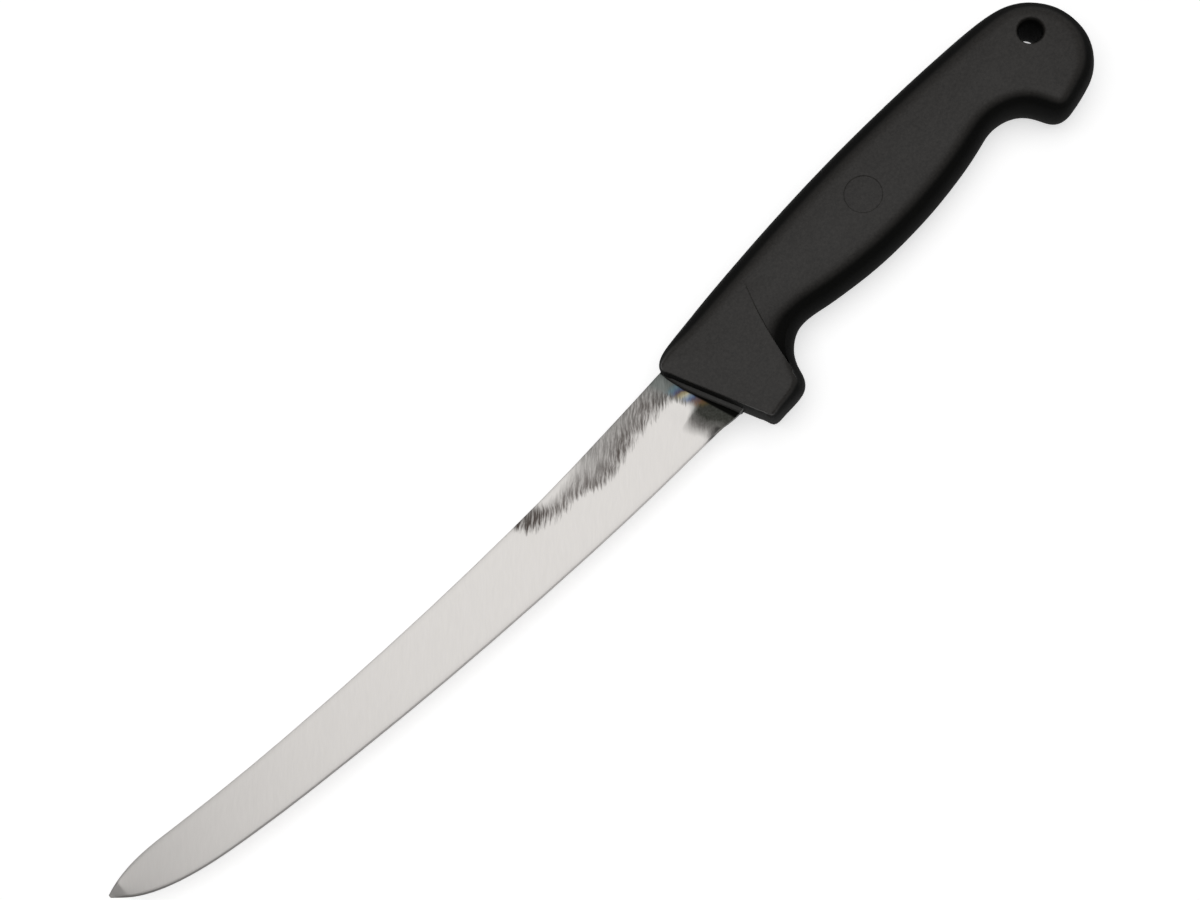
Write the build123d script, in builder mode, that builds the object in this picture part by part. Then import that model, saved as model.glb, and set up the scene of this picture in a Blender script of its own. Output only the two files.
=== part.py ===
from build123d import *
from math import cos, hypot, pi, radians, sin, tan
import os

# Fillet knife in three pieces: a one-piece blade with a hidden tang, a plastic core moulded round
# the tang, and the outer handle moulded over the core.
# Knife directions: x from the handle's front to the butt, y to the spine, z through the flanks.
# y = 0 is the line from the blade's tip to the top of the handle's front, and z = 0 is the
# blade's middle plane. The finished part lies on its flank, centred over its origin.

# Blade
blade_length = 198.4          # tip to the handle's front
blade_height = 22.2           # greatest drop of the cutting edge
heel_thickness = 2.0          # at the spine, where the blade leaves the handle
tip_thickness = 0.9           # at the spine, near the tip
edge_thickness = 0.3          # just behind the cutting bevel
bevel_height = 0.6            # the narrow cutting bevel
plunge_length = 24.0          # the flat grind runs out over this length before the heel
heel_step = 0.35              # unground steel below the edge line at the heel
heel_run = 5.3                # the same steel in front of the handle's face
shoulder_depth = 12.0         # full-height steel behind the handle's front

# Tang
tang_length = 98.0            # behind the handle's front
tang_height = 12.0
tang_end_height = 9.0
tang_drop = 6.5               # its middle line below y = 0, at the shoulder
tang_rise = 4.0               # the middle line climbs this much to the tang's end
tang_corner = 3.0             # rounds the tang's end, and its root reaches this far into the shoulder
tang_hole_radius = 3.0
tang_hole_count = 3

# Handle outline
handle_length = 140.5         # front to butt
handle_thickness = 16.6
spine_rise = 10.3             # highest point of the handle's back
guard_drop = 30.3             # the guard's toe
notch_drop = 16.3             # top of the finger notch
palm_drop = 19.2              # lowest point of the palm swell
bay_drop = 13.7               # top of the hollow in front of the hook
hook_drop = 24.8              # tip of the hook
front_slant = 23.1            # degrees, between the front face and the knife's upright
edge_roll = 6.8               # width of the rolled edge along the grip
roll_limit_share = 0.05       # most of the handle's length that the rolled edge may take
roll_steps = 5                # sections from the middle plane to each flank

# Handle details
hole_radius = 3.25
hole_chamfer = 0.5
hole_from_butt = 11.9
hole_drop = 3.3
crease_top_from_front = 31.2
crease_toe_from_front = 25.0
crease_toe_drop = 24.2
crease_end_from_front = 58.0
crease_depth = 0.8            # the grip's flank falls this far below the guard's at the notch
roundel_radius = 5.0
roundel_depth = 0.2
roundel_from_front = 69.0
roundel_drop = 4.2

# Core
lip_depth = 1.5               # the collar in front of the handle's face
lip_thickness = 4.4
lip_inset = 1.6               # the collar's ends inside the blade's height
lip_root = 14.0               # the collar behind the handle's face
core_thickness = 9.0
core_wall = 2.0               # round the tang's edges
core_corner = 3.0
rib_count = 5
rib_width = 3.0
rib_height = 0.9

overrun = 5.0                 # cuts run past the surface by this much

half_handle = handle_thickness / 2
widest_roll = min(edge_roll, roll_limit_share * handle_length)
middle_x = (handle_length - blade_length) / 2
middle_y = (spine_rise - guard_drop) / 2
slant = tan(radians(front_slant))


def level(height):
    # Plane parallel to the flanks, at a height above the blade's middle plane
    return Plane(origin=(-middle_x, -middle_y, half_handle + height))


def station(along):
    # Plane across the knife, with its first axis towards the spine
    return Plane(origin=(along - middle_x, -middle_y, half_handle), x_dir=(0, 1, 0), z_dir=(1, 0, 0))


def on_front(y, ahead=0):
    # Point on the handle's slanted front face, or on a line in front of it
    return (-y * slant - ahead, y)


# Blade stations from the handle to the tip: distance as a share of the blade's length, spine and
# edge as shares of its height
blade_shares = [
    (0.0000, 0.005, -0.982),
    (0.0190, -0.008, -0.985),
    (0.0380, -0.021, -0.988),
    (0.0567, -0.032, -0.991),
    (0.1091, -0.063, -0.998),
    (0.2140, -0.113, -0.991),
    (0.3183, -0.134, -0.965),
    (0.4231, -0.135, -0.926),
    (0.5280, -0.118, -0.870),
    (0.6328, -0.084, -0.797),
    (0.7377, -0.033, -0.709),
    (0.8163, 0.023, -0.622),
    (0.8687, 0.069, -0.545),
    (0.8949, 0.094, -0.491),
    (0.9211, 0.113, -0.423),
    (0.9473, 0.114, -0.334),
    (0.9735, 0.087, -0.207),
    (0.9892, 0.052, -0.099),
    (1.0000, 0.020, -0.014),
]
full_height_share = 0.25      # sections lower than this share of the blade's height are thinner
bevel_share = 0.25            # most of a low section's height that the bevel may take

heel_half = heel_thickness / 2
heel_top = blade_shares[0][1] * blade_height
heel_bottom = blade_shares[0][2] * blade_height
heel_start = on_front(heel_bottom)[0] - heel_run


def blade_section(along, top, bottom):
    # Flat-ground wedge with a narrow cutting bevel, as corners in y and z
    length_share = max(0, -along / blade_length)
    fullness = min(1, (top - bottom) / (full_height_share * blade_height))
    run_out = (1 + cos(pi * min(1, (heel_start - along) / plunge_length))) / 2
    spine_half = fullness * (heel_half + length_share * (tip_thickness / 2 - heel_half))
    edge_half = fullness * (edge_thickness / 2 + run_out * (heel_half - edge_thickness / 2))
    shoulder = bottom + min(bevel_height, bevel_share * (top - bottom))
    return [(top, spine_half), (shoulder, edge_half), (bottom, 0),
            (shoulder, -edge_half), (top, -spine_half)]


with BuildPart() as blade:
    stations = [(-along * blade_length, top * blade_height, bottom * blade_height)
                for along, top, bottom in blade_shares]
    for along, top, bottom in [(heel_start, heel_top, heel_bottom)] + stations:
        with BuildSketch(station(along)):
            Polygon(*blade_section(along, top, bottom), align=None)
    loft()

    # Unground heel, and the full-height shoulder inside the handle
    with BuildSketch(level(-heel_half)):
        Polygon(
            (heel_start, heel_bottom - heel_step),
            (shoulder_depth, heel_bottom - heel_step),
            (shoulder_depth, heel_top),
            (heel_start, heel_top),
            align=None,
        )
    extrude(amount=heel_thickness)

    # Tang, with holes that the core's plastic fills
    tang_end_drop = tang_drop - tang_rise
    with BuildSketch(level(-heel_half)) as tang_outline:
        Polygon(
            (shoulder_depth - tang_corner, -tang_drop - tang_height / 2),
            (tang_length, -tang_end_drop - tang_end_height / 2),
            (tang_length, -tang_end_drop + tang_end_height / 2),
            (shoulder_depth - tang_corner, -tang_drop + tang_height / 2),
            align=None,
        )
        fillet(tang_outline.vertices().sort_by(Axis.X)[-2:], tang_corner)
    extrude(amount=heel_thickness)
    tang_pitch = (tang_length - shoulder_depth) / tang_hole_count
    tang_climb = tang_rise / (tang_length - shoulder_depth)
    with BuildSketch(level(-heel_half)):
        for place in range(tang_hole_count):
            along = tang_pitch * (place + 0.5)
            with Locations((shoulder_depth + along, along * tang_climb - tang_drop)):
                Circle(tang_hole_radius)
    extrude(amount=heel_thickness, mode=Mode.SUBTRACT)


# Core: a collar that reaches out of the handle's front, and a thick body round the tang
with BuildPart() as core:
    collar_top = heel_top - lip_inset
    collar_bottom = heel_bottom + lip_inset
    with BuildSketch(level(-lip_thickness / 2)):
        Polygon(
            on_front(collar_bottom, lip_depth),
            on_front(collar_bottom, -lip_root),
            on_front(collar_top, -lip_root),
            on_front(collar_top, lip_depth),
            align=None,
        )
    extrude(amount=lip_thickness)

    body_start = shoulder_depth + tang_corner - core_wall
    body_end = tang_length + core_wall
    with BuildSketch(level(-core_thickness / 2)) as core_outline:
        Polygon(
            (body_start, -tang_drop - tang_height / 2 - core_wall),
            (body_end, -tang_end_drop - tang_end_height / 2 - core_wall),
            (body_end, -tang_end_drop + tang_end_height / 2 + core_wall),
            (body_start, -tang_drop + tang_height / 2 + core_wall),
            align=None,
        )
        fillet(core_outline.vertices().sort_by(Axis.X)[-2:], core_corner)
    extrude(amount=core_thickness)

    # Ribs across both faces key the core into the handle
    rib_pitch = (tang_length - shoulder_depth) / rib_count
    with BuildSketch(level(-core_thickness / 2 - rib_height)):
        for place in range(rib_count):
            along = rib_pitch * (place + 0.5)
            with Locations((shoulder_depth + along, along * tang_climb - tang_drop)):
                Rectangle(rib_width, tang_end_height)
    extrude(amount=core_thickness + 2 * rib_height)
    add(blade.part, mode=Mode.SUBTRACT)


# Handle outline, anticlockwise from the guard's toe: distance from the front as a share of the
# handle's length, drop or rise as a share of the named size, roll as a share of the widest roll
toe_shares = [(0.860, 0.22), (0.924, 0.24)]
guard_shares = [
    (0.0907, 0.980, 0.27),
    (0.1021, 1.000, 0.29),
    (0.1192, 0.998, 0.33),
    (0.1370, 0.995, 0.38),
    (0.1548, 0.988, 0.45),
    (0.1705, 0.969, 0.54),
    (0.1826, 0.921, 0.62),
    (0.1890, 0.858, 0.66),
    (0.1925, 0.799, 0.70),
    (0.1968, 0.746, 0.74),
    (0.2032, 0.691, 0.80),
]
notch_shares = [
    (0.2146, 1.172, 0.86),
    (0.2288, 1.080, 0.92),
    (0.2452, 1.018, 0.97),
    (0.2630, 1.000, 1.00),
    (0.2815, 1.012, 1.00),
]
palm_shares = [
    (0.3164, 0.904, 1.00),
    (0.3512, 0.940, 1.00),
    (0.4039, 0.982, 1.00),
    (0.4580, 1.000, 1.00),
    (0.5107, 0.992, 1.00),
    (0.5648, 0.966, 1.00),
    (0.6174, 0.919, 1.00),
    (0.6701, 0.852, 1.00),
    (0.7043, 0.794, 1.00),
]
bay_shares = [
    (0.7221, 1.062, 0.97),
    (0.7391, 1.018, 0.92),
    (0.7569, 1.000, 0.86),
    (0.7747, 1.018, 0.80),
    (0.7925, 1.073, 0.76),
]
hook_shares = [
    (0.8089, 0.649, 0.74),
    (0.8210, 0.726, 0.72),
    (0.8295, 0.815, 0.68),
    (0.8374, 0.903, 0.64),
    (0.8480, 0.968, 0.62),
    (0.8630, 1.000, 0.62),
    (0.8808, 0.992, 0.66),
    (0.9157, 0.944, 0.74),
    (0.9484, 0.871, 0.80),
    (0.9747, 0.742, 0.82),
    (0.9932, 0.565, 0.82),
    (1.0000, 0.339, 0.82),
    (0.9932, 0.101, 0.82),
]
back_shares = [
    (0.9762, 0.184, 0.82),
    (0.9505, 0.544, 0.84),
    (0.9199, 0.762, 0.88),
    (0.8858, 0.869, 0.93),
    (0.8502, 0.922, 0.97),
    (0.7975, 0.961, 1.00),
    (0.7263, 0.990, 1.00),
    (0.6552, 1.000, 1.00),
    (0.5840, 0.995, 1.00),
    (0.5128, 0.971, 1.00),
    (0.4416, 0.927, 1.00),
    (0.3705, 0.862, 1.00),
    (0.2993, 0.780, 1.00),
    (0.2288, 0.684, 1.00),
    (0.1577, 0.573, 0.95),
    (0.0872, 0.439, 0.80),
    (0.0523, 0.364, 0.62),
    (0.0352, 0.311, 0.50),
    (0.0189, 0.223, 0.42),
    (0.0089, 0.107, 0.36),
    (0.0046, -0.039, 0.30),
    (0.0053, -0.184, 0.26),
]
brow_shares = [(-0.286, 0.24), (-0.480, 0.22)]


def stretch(shares, reach):
    # One stretch of the outline in real sizes, as x, y and roll
    return [(x * handle_length, y * reach, roll * widest_roll) for x, y, roll in shares]


def front_stretch(shares, reach):
    # Points where the outline follows the straight front face
    return [(*on_front(y * reach), roll * widest_roll) for y, roll in shares]


outline = (
    front_stretch(toe_shares, -guard_drop)
    + stretch(guard_shares, -guard_drop)
    + stretch(notch_shares, -notch_drop)
    + stretch(palm_shares, -palm_drop)
    + stretch(bay_shares, -bay_drop)
    + stretch(hook_shares, -hook_drop)
    + stretch(back_shares, spine_rise)
    + front_stretch(brow_shares, spine_rise)
)


def rolled_in(share):
    # The outline with each point moved inwards by a share of its roll
    points = []
    for place, (x, y, roll) in enumerate(outline):
        last_x, last_y, _ = outline[place - 1]
        next_x, next_y, _ = outline[(place + 1) % len(outline)]
        run = hypot(next_x - last_x, next_y - last_y)
        inwards = share * roll / run
        points.append((x - (next_y - last_y) * inwards, y + (next_x - last_x) * inwards))
    return points


def way_along(points):
    # How far along the outline each point lies, as a share of the whole
    steps = [hypot(b[0] - a[0], b[1] - a[1]) for a, b in zip(points, points[1:])]
    return [sum(steps[:place]) / sum(steps) for place in range(len(points))]


outline_way = way_along(outline)

with BuildPart() as handle:
    # Sections from flank to flank, drawn in round the edge along a quarter ellipse
    for step in range(-roll_steps, roll_steps + 1):
        turn = radians(90 * step / roll_steps)
        points = rolled_in(1 - cos(turn))
        with BuildSketch(level(half_handle * sin(turn))):
            with BuildLine():
                add(Edge.make_spline(points, parameters=outline_way))
                Line(points[-1], points[0])
            make_face()
    loft()

    # Finger-notch side of the grip's flanks, falling away from the guard's along a crease
    for side in (1, -1):
        flank = side * half_handle
        crease_top = level(flank).from_local_coords((crease_top_from_front, 0))
        crease_end = level(flank).from_local_coords((crease_end_from_front, -palm_drop))
        crease_toe = level(flank - side * crease_depth).from_local_coords(
            (crease_toe_from_front, -crease_toe_drop))
        fall = Plane(origin=crease_top, x_dir=crease_end - crease_top,
                     z_dir=side * (crease_toe - crease_top).cross(crease_end - crease_top))
        corners = [fall.to_local_coords(corner) for corner in (crease_top, crease_toe, crease_end)]
        with BuildSketch(fall):
            Polygon(*[(corner.X, corner.Y) for corner in corners], align=None)
        extrude(amount=overrun, mode=Mode.SUBTRACT)

    # Plain round recess on each flank
    for side in (1, -1):
        with BuildSketch(level(side * half_handle)):
            with Locations((roundel_from_front, -roundel_drop)):
                Circle(roundel_radius)
        extrude(amount=-side * roundel_depth, mode=Mode.SUBTRACT)

    # Hanging hole
    with BuildSketch(level(-half_handle)):
        with Locations((handle_length - hole_from_butt, -hole_drop)):
            Circle(hole_radius)
    extrude(amount=handle_thickness, mode=Mode.SUBTRACT)
    rims = handle.edges().filter_by(GeomType.CIRCLE).filter_by(lambda rim: rim.radius == hole_radius)
    chamfer(rims, hole_chamfer)

    # Cavity, filled by the core and the blade's shoulder
    add(core.part, mode=Mode.SUBTRACT)
    add(blade.part, mode=Mode.SUBTRACT)


os.makedirs("parts", exist_ok=True)
blade.part.label = "blade"
export_step(blade.part, "parts/blade.step")
core.part.label = "core"
export_step(core.part, "parts/core.step")
handle.part.label = "handle"
export_step(handle.part, "parts/handle.step")
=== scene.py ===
import math
from functools import partial

import bmesh
import bpy
import numpy as np
from mathutils import Matrix, Vector, geometry


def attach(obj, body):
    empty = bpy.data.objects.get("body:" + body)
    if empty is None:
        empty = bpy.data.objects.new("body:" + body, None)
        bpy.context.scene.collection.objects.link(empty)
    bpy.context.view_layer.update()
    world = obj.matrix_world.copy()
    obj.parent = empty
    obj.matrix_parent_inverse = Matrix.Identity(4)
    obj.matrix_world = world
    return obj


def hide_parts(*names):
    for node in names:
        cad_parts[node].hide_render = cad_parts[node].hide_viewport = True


# Fillet knife: a hand-ground carbon steel blade with its heat colours left on, in a moulded
# black handle. The knife lies on its flank, tip at -X, spine towards +Y.

mm = 0.001
knifeDatum = (28.95, 10.0, 8.3)       # mm, the top of the handle's front face, in the middle plane
frontSlope = 0.4265                   # that face leans this much along the knife per mm down

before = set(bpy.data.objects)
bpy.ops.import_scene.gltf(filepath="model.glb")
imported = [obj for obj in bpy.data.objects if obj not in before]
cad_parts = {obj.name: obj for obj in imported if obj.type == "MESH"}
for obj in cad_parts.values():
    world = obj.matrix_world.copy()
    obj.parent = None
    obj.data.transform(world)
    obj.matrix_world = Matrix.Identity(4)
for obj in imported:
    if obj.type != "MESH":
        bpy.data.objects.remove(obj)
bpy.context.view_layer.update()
print("frame loaded:", ", ".join(sorted(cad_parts)))


def toLinear(hexColor):
    # sRGB hex, such as "#dddbd8", to the linear colour that shaders take
    channels = [int(hexColor[i:i + 2], 16) / 255 for i in (1, 3, 5)]
    return tuple(c / 12.92 if c <= 0.04045 else ((c + 0.055) / 1.055) ** 2.4 for c in channels) + (1,)


def addNode(tree, kind, links=None, curve=None, stops=None, **settings):
    # A node with its settings. links gives an input, by name or number, a node's first live output,
    # a socket or a plain value, and From and To give both limits of a range. curve and stops are
    # the points of a curve and of a colour ramp
    node = tree.nodes.new(kind)
    for name, value in settings.items():
        setattr(node, name, value)
    given = dict(links or {})
    for name in [n for n in ("From", "To") if n in given]:
        given[name + " Min"], given[name + " Max"] = given.pop(name)
    for name, value in given.items():
        if isinstance(value, bpy.types.Node):
            value = next(output for output in value.outputs if output.enabled)
        if isinstance(value, bpy.types.NodeSocket):
            tree.links.new(value, node.inputs[name])
        else:
            node.inputs[name].default_value = value
    if curve:
        points = node.mapping.curves[0].points
        for place in curve[1:-1]:
            points.new(*place)
        for point, place in zip(points, curve):
            point.location = place
        node.mapping.update()
    if stops:
        elements = node.color_ramp.elements
        while len(elements) < len(stops):
            elements.new(1)
        for element, (place, colour) in zip(elements, stops):
            element.position, element.color = place, toLinear(colour)
    return node


def addObject(name, data):
    thing = bpy.data.objects.new(name, data)
    bpy.context.collection.objects.link(thing)
    return thing


def mergedShape(mesh, within=0.001 * mm):
    # A copy with its faces joined, because the frame's meshes are loose triangles
    shape = bmesh.new()
    shape.from_mesh(mesh)
    bmesh.ops.remove_doubles(shape, verts=shape.verts, dist=within)
    return shape


def solidObject(name, shape, material, sharpFrom):
    # The finished piece, smooth but for edges sharper than some degrees
    openEdges = sum(1 for e in shape.edges if not e.is_manifold)
    mesh = bpy.data.meshes.new(name)
    shape.to_mesh(mesh)
    shape.free()
    mesh.shade_smooth()
    mesh.set_sharp_from_angle(angle=math.radians(sharpFrom))
    mesh.materials.append(material)
    print(name + ":", len(mesh.polygons), "faces,", openEdges, "open edges")
    return addObject(name, mesh)


# Camera: above the cutting edge's side, turned so that the knife runs up to the right
cameraSet = {
    "place": (8.2, -78.6, 417.1),     # mm
    "lookAt": (4.33, 6.38, 8.3),      # mm, the middle of the picture
    "rise": 42.86,                    # degrees the knife's length climbs in the picture
    "lens": 48.1,                     # mm
    "sensor": 36.0,
}


def makeCamera(spec):
    place = Vector(spec["place"]) * mm
    back = (place - Vector(spec["lookAt"]) * mm).normalized()
    turn = math.radians(spec["rise"])
    up = Vector((math.sin(turn), math.cos(turn), 0))
    up = (up - back * up.dot(back)).normalized()
    right = up.cross(back)
    data = bpy.data.cameras.new("camera")
    data.lens = spec["lens"]
    data.sensor_width = spec["sensor"]
    data.clip_start = 0.01
    camera = addObject("camera", data)
    axes = Matrix((right, up, back)).transposed().to_4x4()
    camera.matrix_world = Matrix.Translation(place) @ axes
    bpy.context.scene.camera = camera


makeCamera(cameraSet)
print("camera made")


# Blade: carbon steel, flat ground by hand on a belt, with the forge scale and the heat colours
# left near the handle. Lengths are in mm, x and depth from the top of the handle's front face
steelSet = {
    "spineDrop": 3.0,                 # the spine sags this much towards the handle
    "spineSpan": 75.0,
    "beltAcross": (0.725, -0.688, 0), # the belt's marks run square to this
    "beltAlong": (0.688, 0.725, 0),
    "markWidth": 0.42,                # real marks are 0.1 mm apart: drawn coarser to show
    "markLength": 4.5,
    "markSway": 2.0,
    "markRelief": 0.01,
    "wanderScale": 0.16,              # noise scales, per mm
    "speckleScale": 1.7,
    "patchScale": 0.5,
    "featherSwing": 6.0,              # how far single marks pull the scale's edge
    "featherDrift": 5.0,              # and how far it wanders
    "heelFeather": 0.45,              # the share of both at the heel
    "bandReach": 60.0,
    "bandDepth": 10.0,
    "bandLift": 3.0,
    "heelReach": 14.0,
    "heelDepth": 24.0,
    # Where each soft edge starts and ends
    "hazeFade": (-1.2, 1.8),
    "hazeTopFade": (-1.8, 1.2),
    "strokeFade": (-1.0, 1.2),
    "strokeInner": (7.5, 2.5),
    "heelFade": (-0.8, 3.2),
    "burntFade": (1.3, 5.8),
    "coolFade": (9.0, 3.0),
    "temperEnd": (6.8, 5.2),
    "temperFoot": (17.0, 14.0),
    # Painted shadow of the collar on the blade: its soft edge, and its two limit lines
    "paintedShadowFade": (-0.15, 0.25),
    "paintedShadowTop": (-0.31, 0.24),         # ahead of the front face, and more per mm down, by the spine
    "paintedShadowLow": (0.6, 0.115),          # the same lower down
    "temperSlant": 0.28,              # the colours run nearly along the blade
    "temperSpan": (4.7, 17.0),        # the depths of the first and the last
    "temperPatch": 2.4,               # how far patches shift them
    "temperRagged": 4.0,              # how far single marks shift their end
    "bareColours": ("#c4c1be", "#cfccc9"),    # between the belt's marks, and on them
    "hazeColours": ("#73716e", "#6b7472"),    # along the blade, and by the handle
    "strokeColours": ("#4f4743", "#2e2f2a"),  # dark strokes, and burnt scale
    # the near black of that painted shadow
    "paintedShadowColour": "#0c0c0b",
    "roughness": (0.34, 0.5),         # bare metal, and scale
    "mottle": (0.9, 1.05),            # the scale's speckle
    # Forge scale along the spine from the point end to the handle: lower edge, upper edge, and how
    # strong the even haze and the dark strokes at its lower edge are
    "bandLow": [(0, 0), (0.06, 0.02), (0.1, 0.16), (0.16, 0.47), (0.27, 0.61), (0.38, 0.65),
                (0.45, 0.82), (0.52, 0.93), (0.62, 0.82), (0.73, 0.73), (0.84, 0.66), (0.93, 0.66),
                (0.98, 0.92), (1, 1)],
    "bandHigh": [(0, 0.3), (0.1, 0.2), (0.18, 0.24), (0.24, 0.5), (0.29, 0.62), (0.38, 0.56),
                 (0.45, 0.46), (0.55, 0.2), (1, 0.1)],
    "hazeTone": [(0, 0), (0.06, 0), (0.1, 0.7), (0.2, 0.75), (0.28, 0.4), (0.42, 0.45), (0.55, 0.6),
                 (0.8, 0.7), (1, 0.85)],
    "darkTone": [(0, 0), (0.06, 0), (0.1, 0.95), (0.2, 1), (0.26, 0.8), (0.36, 0.75), (0.5, 0.85),
                 (0.8, 0.85), (1, 0.6)],
    # Scale at the heel: how far it reaches from the handle, down from the spine
    "heelEdge": [(0, 0.1), (0.3, 0.14), (0.42, 0.28), (0.5, 0.36), (0.56, 0.6), (0.6, 0.8),
                 (0.69, 0.86), (0.785, 0.82), (0.86, 0.78), (0.9, 0.78), (1, 0.8)],
    # Temper colours, from the coolest by the spine to the darkest scale
    "temper": [(0.0, "#6f7471"), (0.14, "#5d7983"), (0.25, "#4c5878"), (0.29, "#544a58"),
               (0.34, "#8f815f"), (0.4, "#b0ac90"), (0.47, "#84919c"), (0.54, "#4e6489"),
               (0.62, "#4c4355"), (0.73, "#70533e"), (0.84, "#5a4f34"), (0.93, "#3a3b34"),
               (1.0, "#33342f")],
}


def groundSteel(spec):
    # Satin ground carbon steel: pale grey metal with a soft shine that follows the belt's marks,
    # under blue-grey scale whose edge frays into single strokes, and straw, blue and brown fringes,
    # with a near black strip of painted shadow on the blade against the collar
    material = bpy.data.materials.new("satin_ground_carbon_steel")
    material.use_nodes = True
    tree = material.node_tree
    shader = tree.nodes["Principled BSDF"]
    shader.inputs["Metallic"].default_value = 1.0
    add = partial(addNode, tree)
    calc, vector, noise = "ShaderNodeMath", "ShaderNodeVectorMath", "ShaderNodeTexNoise"
    spread, shape, mix = "ShaderNodeMapRange", "ShaderNodeFloatCurve", "ShaderNodeMix"
    place = add("ShaderNodeTexCoord").outputs["Object"]
    place = add(vector, {0: place, 1: (1 / mm,) * 3, 2: [-v for v in knifeDatum]},
                operation="MULTIPLY_ADD")
    x, y, z = add("ShaderNodeSeparateXYZ", {0: place}).outputs
    ahead, across, along = (add(vector, {0: place, 1: axis}, operation="DOT_PRODUCT")
                            for axis in ((-1, -frontSlope, 0), spec["beltAcross"], spec["beltAlong"]))

    # Depth below the bowed spine
    bow = add(calc, {0: x, 1: 1 / spec["spineSpan"], 2: 1.0}, operation="MULTIPLY_ADD")
    bow = add(calc, {0: bow, 1: bow}, operation="MULTIPLY")
    bow = add(calc, {0: bow, 1: spec["spineDrop"], 2: -spec["spineDrop"]}, operation="MULTIPLY_ADD")
    depth = add(calc, {0: bow, 1: y}, operation="SUBTRACT")

    # Belt marks are long thin noise that wanders a little, and the scale is speckled
    wander = add(noise, {"Vector": place, "Scale": spec["wanderScale"], "Detail": 2.0})
    sway = add(calc, {0: wander, 1: spec["markSway"], 2: across}, operation="MULTIPLY_ADD")
    sway = add(calc, {0: sway, 1: 1 / spec["markWidth"]}, operation="MULTIPLY")
    onward = add(calc, {0: along, 1: 1 / spec["markLength"]}, operation="MULTIPLY")
    strokes = add("ShaderNodeCombineXYZ", {"X": sway, "Y": onward, "Z": z})
    marks = add(noise, {"Vector": strokes, "Scale": 1.0, "Detail": 4.0, "Roughness": 0.65})
    speckle = add(noise, {"Vector": place, "Scale": spec["speckleScale"], "Detail": 4.0,
                          "Roughness": 0.7})
    swing, drift = (add(calc, {0: source, 1: size, 2: -size / 2}, operation="MULTIPLY_ADD")
                    for source, size in ((marks, spec["featherSwing"]), (wander, spec["featherDrift"])))
    fray = add(calc, {0: swing, 1: drift}, operation="ADD")
    bitten = add(spread, {"Value": marks, "From": (0.4, 0.6), "To": (0.3, 1.0)})
    combed = add(spread, {"Value": marks, "From": (0.38, 0.62), "To": (0.55, 1.2)})

    # Scale along the spine: an even haze, with dark strokes towards its lower edge
    way = add(spread, {"Value": x, "From": (-spec["bandReach"], 0.0)})
    low, high, hazeTone, darkTone = (add(shape, {"Value": way}, curve=spec[curve])
                                     for curve in ("bandLow", "bandHigh", "hazeTone", "darkTone"))
    low = add(calc, {0: low, 1: spec["bandDepth"], 2: fray}, operation="MULTIPLY_ADD")
    low = add(calc, {0: low, 1: depth}, operation="SUBTRACT")
    high = add(calc, {0: high, 1: -spec["bandDepth"], 2: depth}, operation="MULTIPLY_ADD")
    high = add(calc, {0: swing, 1: 0.5, 2: high}, operation="MULTIPLY_ADD")
    high = add(calc, {0: high, 1: spec["bandLift"]}, operation="ADD")
    below = add(spread, {"Value": high, "From": spec["hazeTopFade"]})
    haze = add(spread, {"Value": low, "From": spec["hazeFade"]})
    for share in (below, hazeTone, combed):
        haze = add(calc, {0: haze, 1: share}, operation="MULTIPLY")
    dark = add(spread, {"Value": low, "From": spec["strokeFade"]})
    inner = add(spread, {"Value": low, "From": spec["strokeInner"], "To": (0.15, 1.0)})
    for share in (inner, below, bitten, darkTone):
        dark = add(calc, {0: dark, 1: share}, operation="MULTIPLY")

    # Scale at the heel, darkest against the handle
    down = add(spread, {"Value": depth, "From": (0.0, spec["heelDepth"])})
    reach = add(shape, {"Value": down}, curve=spec["heelEdge"])
    soft = add(calc, {0: fray, 1: spec["heelFeather"]}, operation="MULTIPLY")
    reach = add(calc, {0: reach, 1: spec["heelReach"], 2: soft}, operation="MULTIPLY_ADD")
    reach = add(calc, {0: reach, 1: ahead}, operation="SUBTRACT")
    heel = add(spread, {"Value": reach, "From": spec["heelFade"], "To": (0.0, 0.85)})
    burnt = add(spread, {"Value": reach, "From": spec["burntFade"], "To": (0.0, 0.95)})
    haze = add(calc, {0: haze, 1: heel}, operation="MAXIMUM")
    dark = add(calc, {0: dark, 1: burnt}, operation="MAXIMUM")

    # The scale's greys, cooler near the handle, over the bare metal
    mottle = add(spread, {"Value": speckle, "From": (0.3, 0.7), "To": spec["mottle"]})
    haze, dark = (add(calc, {0: amount, 1: mottle}, operation="MULTIPLY", use_clamp=True)
                  for amount in (haze, dark))
    cool = add(spread, {"Value": ahead, "From": spec["coolFade"], "To": (0.0, 0.8)})
    bare, grey, black = (
        add(mix, {0: share, 6: toLinear(spec[pair][0]), 7: toLinear(spec[pair][1])}, data_type="RGBA")
        for share, pair in ((marks, "bareColours"), (cool, "hazeColours"), (burnt, "strokeColours")))
    colour = add(mix, {0: haze, 6: bare, 7: grey}, data_type="RGBA")
    colour = add(mix, {0: dark, 6: colour, 7: black}, data_type="RGBA")

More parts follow.
